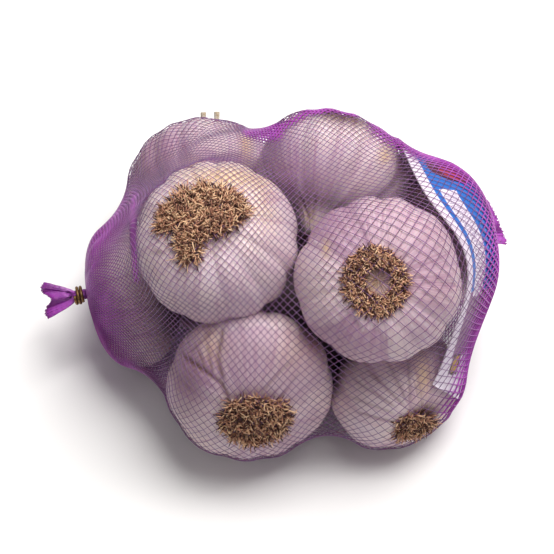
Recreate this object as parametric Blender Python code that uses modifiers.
"""A net bag of garlic bulbs that lies on a table, tied with a clip at both ends, with a paper label inside.

The net and the bulbs in it are one solid, out to the net. The clips and the label are solids of their own.
Metres, +Z up, +X towards the right-hand clip. The origin is on the table, below the middle of the bag.
"""

import math
from collections import namedtuple

import bmesh
import bpy
import numpy as np
from mathutils import Matrix, Vector
from mathutils.bvhtree import BVHTree

# Driving sizes
BULB_WIDTH = 0.056
NET_STANDOFF = 0.0004
PIECE_GAP = 0.0004

# A bulb of garlic, as shares of its width. Its own +Z runs from the root plate to the neck.
ROOT_SIDE = 0.37
NECK_SIDE = 0.43
ROOT_FULLNESS = 2.5
NECK_FULLNESS = 1.95
NECK_RISE = 0.12
NECK_SPREAD = math.radians(14)
CLOVE_DEPTH = 0.035
CLOVE_SHARPNESS = 0.7

# The nine bulbs: centre, which way the root plate faces, cloves, and shares of the common width and height
Bulb = namedtuple("Bulb", "name centre root cloves has_tuft share tall")
BULBS = (
    Bulb("upper_left", (-0.0213, -0.0139, 0.0710), (-0.10, -0.25, 0.96), 11, True, 1.03, 1.00),
    Bulb("upper_right", (0.0341, -0.0289, 0.0700), (-0.05, -0.58, 0.81), 10, True, 1.04, 1.00),
    Bulb("front", (-0.0100, -0.0492, 0.0350), (0.06, -0.94, 0.34), 9, True, 1.06, 0.82),
    Bulb("front_right", (0.0423, -0.0436, 0.0241), (0.46, -0.88, 0.10), 10, True, 0.88, 0.95),
    Bulb("back", (0.0238, 0.0263, 0.0590), (0.45, 0.87, 0.12), 10, True, 0.94, 0.90),
    Bulb("back_left", (-0.0281, 0.0434, 0.0290), (0.03, -1.00, 0.09), 11, False, 1.07, 0.92),
    Bulb("left", (-0.0522, -0.0056, 0.0270), (-0.98, -0.16, -0.12), 10, False, 0.98, 0.86),
    Bulb("right", (0.0548, 0.0102, 0.0235), (0.53, 0.57, -0.63), 11, False, 0.90, 0.95),
    Bulb("bottom", (-0.0001, 0.0016, 0.0178), (0.00, 0.20, -0.98), 9, False, 0.82, 1.00),
)
# Smooth shapes that hold the net out: the stiff label bulges at the right, and at the back the net is stretched
# straight from the upper left bulb to the two behind it
HELD_OUT = (
    Bulb("label_bulge", (0.0460, -0.0020, 0.0500), (0.98, 0.10, 0.15), 0, False, 1.16, 1.30),
    Bulb("back_stretch", (-0.0140, 0.0180, 0.0540), (0.00, 0.59, 0.81), 0, False, 0.89, 1.30),
)

# The net, as a tube from clip to clip
NET_CENTRE = (0.0, -0.0065, 0.046)
NET_START = (0.100, 0.100, 0.075)
LEFT_CLIP = (-0.0695, -0.0070, 0.0300)
LEFT_WAY = (-0.98, -0.15, -0.06)
RIGHT_CLIP = (0.0695, 0.0245, 0.0215)
RIGHT_WAY = (0.90, 0.38, 0.18)
NET_ROWS = 46
NET_COLUMNS = 68
NET_STEPS = 500
NET_PULL = 0.6
NET_SETTLED = 0.0007
SHARP_ANGLE = math.radians(40)

# The gathered neck at each end and the frayed tail past the clip
NECK_RADIUS = 0.0019
NET_END_SHARE = 0.6
NECK_SIDES = 16
NECK_INSIDE = 0.004
NECK_OUTSIDE = 0.0062
TAIL_LENGTH = 0.0125
TAIL_SUNK = 0.0007
TAIL_START_SHARE = 0.9
TAIL_THICKNESS = 0.0009
TAIL_PLEATS = 2
TAIL_PLEAT_DEPTH = 0.0012
TAIL_NOTCH = 0.28
TAIL_NOTCH_WIDTH = 0.35
TAIL_CORNER_CUT = 0.12
TAIL_FLARE = 0.8
TAIL_GRID = (16, 6)
LEFT_TAIL_WIDTH = 0.0135
LEFT_TAIL_TURN = math.radians(-35)
RIGHT_TAIL_WIDTH = 0.0195
RIGHT_TAIL_TURN = math.radians(35)

# The clip is crimped from metal wire, so it has two rounded turns
CLIP_WIRE = 0.0014
CLIP_START = 0.0022
CLIP_TURNS = 2
CLIP_GROOVE = 0.35
CLIP_BULGE = 0.5
CLIP_SIDES = 20
CLIP_ARC = 5

# Dried roots on a root plate
TUFT_ROOTS = 26
TUFT_SPREAD = 0.0115
ROOT_LENGTH = 0.0048
ROOT_RADIUS = 0.0009
ROOT_SIDES = 4
ROOT_SUNK = 0.0026
ROOT_LEAN = 0.9
ROOT_LEAN_SPREAD = 0.25
ROOT_SHORTEST = 0.75
ROOT_LONGEST = 1.1
PLATE_DOME = 0.12

# Two stubs of cut stalk poke out through the net above the back left bulb
STALK_FEET = ((-0.0290, 0.0600, 0.0405), (-0.0238, 0.0605, 0.0402))
STALK_WAY = (0.0, 0.84, 0.54)
STALK_RADIUS = 0.0011
STALK_LENGTH = 0.0090
STALK_SIDES = 8

# The paper label, wrapped round the right-hand end under the net. Its seen long edge goes through these
# directions from the middle of the net, bottom end first. Its width runs on in the across way.
LABEL_EDGE_WAYS = (
    (0.80, -0.60, -0.02),
    (0.85, -0.53, 0.02),
    (0.95, -0.32, 0.00),
    (0.99, -0.14, 0.06),
    (0.99, -0.06, 0.14),
    (0.95, -0.07, 0.31),
    (0.88, -0.04, 0.48),
    (0.82, 0.08, 0.57),
    (0.77, 0.26, 0.58),
    (0.71, 0.45, 0.54),
    (0.68, 0.55, 0.48),
)
LABEL_ACROSS_WAY = (0.306, 0.435, -0.847)
LABEL_WIDTH = 0.042
LABEL_THICKNESS = 0.0005
LABEL_GRID = (31, 13)
LABEL_EDGE_STEPS = 3
LABEL_STEPS = 60

COLOURS = {
    "net_bag": (0.55, 0.36, 0.50),
    "clip": (0.50, 0.38, 0.22),
    "label": (0.30, 0.40, 0.72),
}


def clear_scene():
    for old in list(bpy.data.objects):
        bpy.data.objects.remove(old)


def new_collection(name):
    made = bpy.data.collections.new(name)
    bpy.context.scene.collection.children.link(made)
    return made


def make_material(name, colour, roughness, metallic):
    material = bpy.data.materials.new(name)
    material.use_nodes = True
    shader = material.node_tree.nodes["Principled BSDF"]
    shader.inputs["Base Color"].default_value = (*colour, 1)
    shader.inputs["Roughness"].default_value = roughness
    shader.inputs["Metallic"].default_value = metallic
    return material


def object_from(bm, name, collection, material):
    mesh = bpy.data.meshes.new(name)
    bm.normal_update()
    bm.to_mesh(mesh)
    bm.free()
    made = bpy.data.objects.new(name, mesh)
    mesh.materials.append(material)
    collection.objects.link(made)
    return made


def frame_along(way):
    """A rotation whose +Z is the given way, as a 3 by 3 array with the axes in its columns."""
    return np.array(Vector(way).to_track_quat("Z", "Y").to_matrix())


def bulb_radius(bulb, ways):
    """How far the bulb's skin is from its centre, along unit vectors in the bulb's own frame."""
    width = BULB_WIDTH * bulb.share
    out = np.hypot(ways[:, 0], ways[:, 1])
    up = ways[:, 2]
    side = np.where(up < 0, ROOT_SIDE, NECK_SIDE) * width * bulb.tall
    fullness = np.where(up < 0, ROOT_FULLNESS, NECK_FULLNESS)
    radius = ((2 * out / width) ** fullness + (np.abs(up) / side) ** fullness) ** (-1 / fullness)
    from_neck = np.arctan2(out, up)
    radius += NECK_RISE * width * np.exp(-((from_neck / NECK_SPREAD) ** 2))
    around = np.arctan2(ways[:, 1], ways[:, 0])
    clove = np.abs(np.cos(around * bulb.cloves / 2)) ** CLOVE_SHARPNESS
    return radius * (1 + CLOVE_DEPTH * (clove - 1) * out**2)


def pushed_out(points, bulbs, standoff):
    """Moves the points that are inside a bulb, straight out from its middle to its skin."""
    for bulb in bulbs:
        turn = frame_along(-Vector(bulb.root))
        local = (points - bulb.centre) @ turn
        length = np.linalg.norm(local, axis=1)
        near = length < BULB_WIDTH
        ways = local[near] / length[near, None]
        radius = bulb_radius(bulb, ways) + standoff
        short = radius > length[near]
        moved = points[near]
        moved[short] = np.array(bulb.centre) + (ways[short] * radius[short, None]) @ turn.T
        points[near] = moved
    points[:, 2] = np.maximum(points[:, 2], 0)
    return points


def net_grid():
    """The net's rows and columns of points, drawn tight round the bulbs and flat on the table."""
    tilt = np.linspace(0, math.pi, NET_ROWS + 1)[1:-1, None]
    turn = np.linspace(0, 2 * math.pi, NET_COLUMNS, endpoint=False)[None, :]
    shape = np.ones_like(turn)
    ball = np.stack([-np.cos(tilt) * shape, np.sin(tilt) * np.cos(turn), np.sin(tilt) * np.sin(turn)], axis=2)
    grid = np.array(NET_CENTRE) + ball * NET_START
    for row, clip, way in ((0, LEFT_CLIP, LEFT_WAY), (-1, RIGHT_CLIP, RIGHT_WAY)):
        along = np.array(Vector(way).normalized())
        ring = ball[row] - np.outer(ball[row] @ along, along)
        ring /= np.linalg.norm(ring, axis=1)[:, None]
        grid[row] = np.array(clip) + ring * NECK_RADIUS * NET_END_SHARE
    for _ in range(NET_STEPS):
        sides = np.roll(grid, 1, axis=1) + np.roll(grid, -1, axis=1)
        middle = (grid[:-2] + grid[2:] + sides[1:-1]) / 4
        moved = grid[1:-1] + NET_PULL * (middle - grid[1:-1])
        moved = pushed_out(moved.reshape(-1, 3), (*BULBS, *HELD_OUT), NET_STANDOFF)
        grid[1:-1] = moved.reshape(middle.shape)
    height = grid[:, :, 2]
    height[height < NET_SETTLED] = 0
    return grid


def net_skin(collection, material):
    """A UV sphere with its poles at the clips, whose points are moved to the tight net."""
    bm = bmesh.new()
    bmesh.ops.create_uvsphere(bm, u_segments=NET_COLUMNS, v_segments=NET_ROWS, radius=1)
    grid = net_grid()
    inset = NECK_RADIUS / 2
    left_pole = Vector(LEFT_CLIP) + Vector(LEFT_WAY).normalized() * inset
    right_pole = Vector(RIGHT_CLIP) + Vector(RIGHT_WAY).normalized() * inset
    for vertex in bm.verts:
        x, y, z = vertex.co
        row = round(math.acos(max(-1, min(1, -z))) / math.pi * NET_ROWS)
        column = round(math.atan2(y, x) / (2 * math.pi) * NET_COLUMNS) % NET_COLUMNS
        if row == 0:
            vertex.co = left_pole
        elif row == NET_ROWS:
            vertex.co = right_pole
        else:
            vertex.co = grid[row - 1, column]
    bmesh.ops.recalc_face_normals(bm, faces=bm.faces)
    return object_from(bm, "net_bag", collection, material)


def neck(collection, material, clip, way):
    """The gathered rope of net that passes through a clip."""
    length = NECK_INSIDE + NECK_OUTSIDE
    bm = bmesh.new()
    middle = Matrix.Translation((0, 0, length / 2 - NECK_INSIDE))
    bmesh.ops.create_cone(bm, cap_ends=True, segments=NECK_SIDES, radius1=NECK_RADIUS, radius2=NECK_RADIUS,
                          depth=length, matrix=middle)
    place = Matrix.Translation(clip) @ Vector(way).to_track_quat("Z", "Y").to_matrix().to_4x4()
    bm.transform(place)
    return object_from(bm, "neck", collection, material)


def tail(collection, material, clip, way, width, fan_turn):
    """The frayed end of the net past a clip: a pleated fan with a notched edge."""
    across, along = TAIL_GRID
    start = NECK_RADIUS * TAIL_START_SHARE
    bm = bmesh.new()
    bmesh.ops.create_grid(bm, x_segments=across, y_segments=along, size=0.5)
    for vertex in bm.verts:
        side = 2 * vertex.co.x
        far = vertex.co.y + 0.5
        notch = TAIL_NOTCH * math.exp(-((side / TAIL_NOTCH_WIDTH) ** 2))
        reach = TAIL_LENGTH * (1 - notch - TAIL_CORNER_CUT * side**4)
        half_width = start + (width / 2 - start) * far**TAIL_FLARE
        pleat = TAIL_PLEAT_DEPTH * far * math.cos(math.pi * TAIL_PLEATS * side)
        vertex.co = (side * half_width, pleat, NECK_OUTSIDE - TAIL_SUNK + far * reach)
    turn = Matrix.Rotation(fan_turn, 4, "Z")
    place = Matrix.Translation(clip) @ Vector(way).to_track_quat("Z", "Y").to_matrix().to_4x4()
    bm.transform(place @ turn)
    fan = object_from(bm, "tail", collection, material)
    shell = fan.modifiers.new("thickness", "SOLIDIFY")
    shell.thickness = TAIL_THICKNESS
    shell.offset = 0
    return fan


def root_tuft(collection, material, bulb, seed):
    """Stubs of dried root that lean outwards from the bulb's root plate and press through the net."""
    draw = np.random.default_rng(seed)
    turn = frame_along(bulb.root)
    plate = BULB_WIDTH * bulb.share * bulb.tall * ROOT_SIDE
    bm = bmesh.new()
    for index in range(TUFT_ROOTS):
        share = math.sqrt((index + 0.5) / TUFT_ROOTS)
        around = index * math.pi * (3 - math.sqrt(5))
        lean = share * ROOT_LEAN + draw.uniform(-ROOT_LEAN_SPREAD, ROOT_LEAN_SPREAD)
        foot = Vector((math.cos(around), math.sin(around), 0)) * share * TUFT_SPREAD * bulb.share
        foot.z = plate - ROOT_SUNK - PLATE_DOME * foot.length
        way = Vector((math.cos(around) * math.sin(lean), math.sin(around) * math.sin(lean), math.cos(lean)))
        length = ROOT_LENGTH * draw.uniform(ROOT_SHORTEST, ROOT_LONGEST)
        place = Matrix.Translation(foot) @ way.to_track_quat("Z", "Y").to_matrix().to_4x4()
        middle = Matrix.Translation((0, 0, length / 2))
        bmesh.ops.create_cone(bm, cap_ends=True, segments=ROOT_SIDES, radius1=ROOT_RADIUS,
                              radius2=ROOT_RADIUS / 3, depth=length, matrix=place @ middle)
    bm.transform(Matrix.Translation(bulb.centre) @ Matrix(turn.tolist()).to_4x4())
    return object_from(bm, "roots_" + bulb.name, collection, material)


def stalk(collection, material, foot):
    """A stub of cut stalk, from inside the bulb to past the net."""
    bm = bmesh.new()
    middle = Matrix.Translation((0, 0, STALK_LENGTH / 2))
    bmesh.ops.create_cone(bm, cap_ends=True, segments=STALK_SIDES, radius1=STALK_RADIUS, radius2=STALK_RADIUS,
                          depth=STALK_LENGTH, matrix=middle)
    bm.transform(Matrix.Translation(foot) @ Vector(STALK_WAY).to_track_quat("Z", "Y").to_matrix().to_4x4())
    return object_from(bm, "stalk", collection, material)


def join_all(target, others):
    """Fuses everything in the other collection with the target, and removes that collection."""
    union = target.modifiers.new("fused", "BOOLEAN")
    union.operation = "UNION"
    union.operand_type = "COLLECTION"
    union.collection = others
    union.solver = "EXACT"
    graph = bpy.context.evaluated_depsgraph_get()
    mesh = bpy.data.meshes.new_from_object(target.evaluated_get(graph))
    target.modifiers.remove(union)
    target.data = mesh
    for used in list(others.objects):
        bpy.data.objects.remove(used)
    bpy.data.collections.remove(others)


def clip_ring(name, collection, material, clip, way):
    """Two turns of crimped wire round a neck, as one turned ring."""
    inner = NECK_RADIUS + PIECE_GAP
    length = CLIP_WIRE * CLIP_TURNS
    bm = bmesh.new()
    profile = [(inner, CLIP_START + length)]
    for turn in reversed(range(CLIP_TURNS)):
        middle = CLIP_START + (turn + 0.5) * CLIP_WIRE
        for step in range(1, CLIP_ARC):
            angle = math.pi / 2 - math.pi * step / CLIP_ARC
            out = inner + CLIP_WIRE * (CLIP_GROOVE + CLIP_BULGE * math.cos(angle))
            profile.append((out, middle + CLIP_WIRE / 2 * math.sin(angle)))
    profile.append((inner, CLIP_START))
    points = [bm.verts.new((x, 0, z)) for x, z in profile]
    for first, second in zip(points, points[1:] + points[:1]):
        bm.edges.new((first, second))
    ring = object_from(bm, name, collection, material)
    ring.location = clip
    ring.rotation_euler = Vector(way).to_track_quat("Z", "Y").to_euler()
    turned = ring.modifiers.new("turned", "SCREW")
    turned.steps = turned.render_steps = CLIP_SIDES
    turned.use_merge_vertices = True
    turned.merge_threshold = 0.00001
    turned.use_normal_calculate = True
    return ring


def label_points(skin):
    """The label's rows of points: laid on the skin from its seen long edge, then smoothed as paper bends."""
    graph = bpy.context.evaluated_depsgraph_get()
    tree = BVHTree.FromObject(skin, graph)
    centre = Vector(NET_CENTRE)
    long_count, wide_count = LABEL_GRID

    def skin_reach(way):
        return (tree.ray_cast(centre + way * 0.2, -way)[0] - centre).length

    corners = [Vector(way).normalized() for way in LABEL_EDGE_WAYS]
    laid = np.array([corner * skin_reach(corner) for corner in corners])
    along = np.append(0, np.cumsum(np.linalg.norm(np.diff(laid, axis=0), axis=1)))
    even = np.linspace(0, along[-1], long_count)
    edge = np.stack([np.interp(even, along, laid[:, axis]) for axis in range(3)], axis=1)
    for _ in range(LABEL_EDGE_STEPS):
        edge[1:-1] = (edge[:-2] + 2 * edge[1:-1] + edge[2:]) / 4

    ways = np.zeros((long_count, wide_count, 3))
    lowest = np.zeros((long_count, wide_count))
    for i in range(long_count):
        start = Vector(edge[i]).normalized()
        across = Vector(LABEL_ACROSS_WAY)
        across = (across - across.project(start)).normalized()
        slant = 0
        for j in range(wide_count):
            way = start * math.cos(slant) + across * math.sin(slant)
            reach = skin_reach(way)
            ways[i, j] = way
            lowest[i, j] = reach + PIECE_GAP + LABEL_THICKNESS
            slant += LABEL_WIDTH / (wide_count - 1) / reach
    reach = lowest.copy()
    for _ in range(LABEL_STEPS):
        padded = np.pad(reach, 1, mode="reflect", reflect_type="odd")
        around = (padded[:-2, 1:-1] + padded[2:, 1:-1] + padded[1:-1, :-2] + padded[1:-1, 2:]) / 4
        reach = np.maximum(lowest, around)
    return np.array(NET_CENTRE) + ways * reach[:, :, None]


def label(skin, collection, material):
    points = label_points(skin)
    long_count, wide_count = LABEL_GRID
    bm = bmesh.new()
    made = bmesh.ops.create_grid(bm, x_segments=long_count - 1, y_segments=wide_count - 1, size=0.5)
    for vertex in made["verts"]:
        i = round((vertex.co.x + 0.5) * (long_count - 1))
        j = round((vertex.co.y + 0.5) * (wide_count - 1))
        vertex.co = points[i, j]
    bmesh.ops.recalc_face_normals(bm, faces=bm.faces)
    sheet = object_from(bm, "label", collection, material)
    shell = sheet.modifiers.new("thickness", "SOLIDIFY")
    shell.thickness = LABEL_THICKNESS
    shell.offset = 0
    return sheet


def main():
    clear_scene()
    bag = new_collection("garlic_net_bag")
    joined = new_collection("fused_to_net")
    net_material = make_material("violet_net", COLOURS["net_bag"], 0.5, 0)
    clip_material = make_material("clip_metal", COLOURS["clip"], 0.4, 0.9)
    label_material = make_material("label_paper", COLOURS["label"], 0.45, 0)
    skin = net_skin(bag, net_material)
    label(skin, bag, label_material)
    for seed, bulb in enumerate(BULBS):
        if bulb.has_tuft:
            root_tuft(joined, net_material, bulb, seed)
    for foot in STALK_FEET:
        stalk(joined, net_material, foot)
    ends = (
        ("clip_left", LEFT_CLIP, LEFT_WAY, LEFT_TAIL_WIDTH, LEFT_TAIL_TURN),
        ("clip_right", RIGHT_CLIP, RIGHT_WAY, RIGHT_TAIL_WIDTH, RIGHT_TAIL_TURN),
    )
    for name, clip, way, width, fan_turn in ends:
        neck(joined, net_material, clip, way)
        tail(joined, net_material, clip, way, width, fan_turn)
        clip_ring(name, bag, clip_material, clip, way)
    join_all(skin, joined)
    skin.data.shade_smooth()
    skin.data.set_sharp_from_angle(angle=SHARP_ANGLE)


main()
